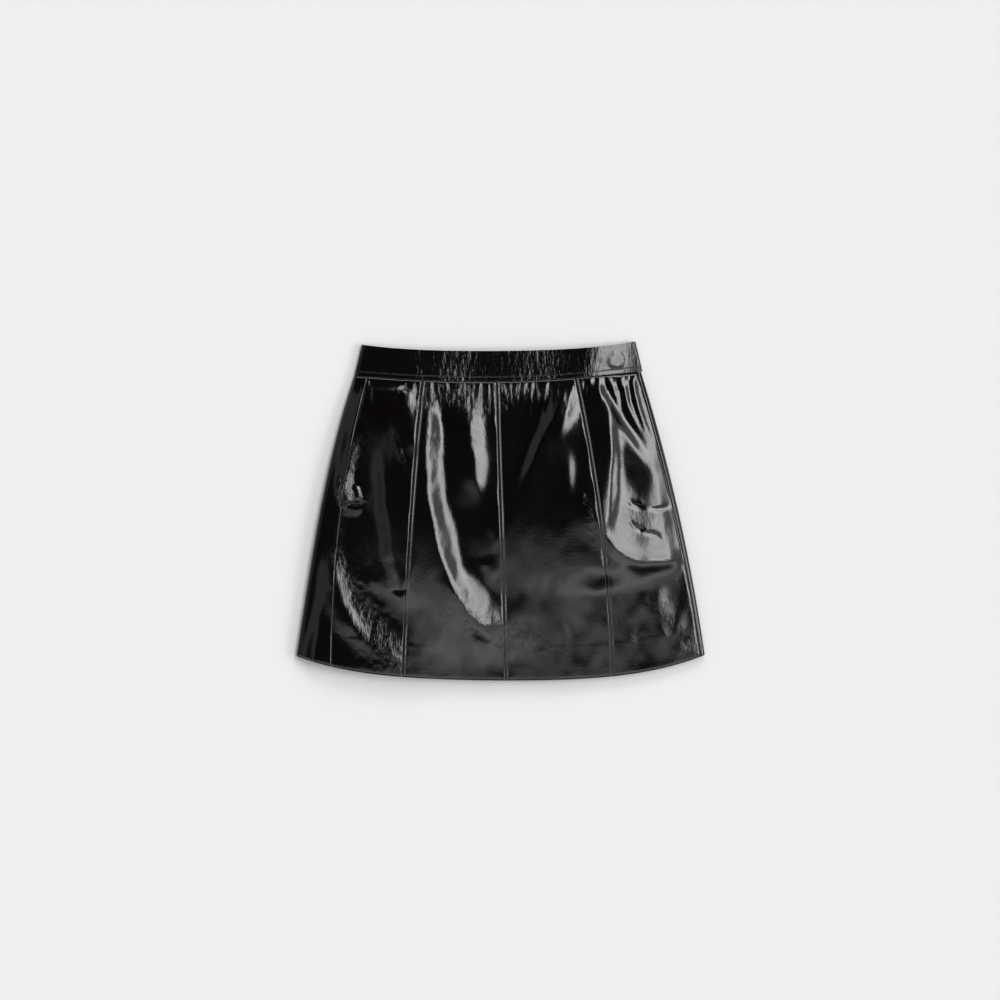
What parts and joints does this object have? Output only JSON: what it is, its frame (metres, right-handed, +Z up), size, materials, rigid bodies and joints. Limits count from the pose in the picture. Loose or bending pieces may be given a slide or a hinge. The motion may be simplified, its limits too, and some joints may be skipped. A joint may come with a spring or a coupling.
{
  "type": "leather mini skirt",
  "caption": "Mini skirt of black patent leather with a waistband and princess seams, closed at the side and laid flat.",
  "frame": {"origin": "middle of the skirt's outline on the surface that it lies on", "axes": "+X across to the wearer's left, +Y towards the waist, +Z up from the surface"},
  "size_m": [0.5194, 0.4305, 0.0301],
  "materials": {
    "patent_leather": "glossy, finely crinkled",
    "snap_metal": "satin",
    "zip_tape": "matte"
  },
  "bodies": {
    "root": {"front_left_side": "patent_leather", "front_left_centre": "patent_leather", "front_right_centre": "patent_leather", "front_right_side": "patent_leather", "back_left_side": "patent_leather", "back_left_centre": "patent_leather", "back_right_centre": "patent_leather", "back_right_side": "patent_leather", "waistband_front": "patent_leather", "waistband_back": "patent_leather", "waistband_snap": "snap_metal", "side_zip": "zip_tape"}
  },
  "joints": []
}
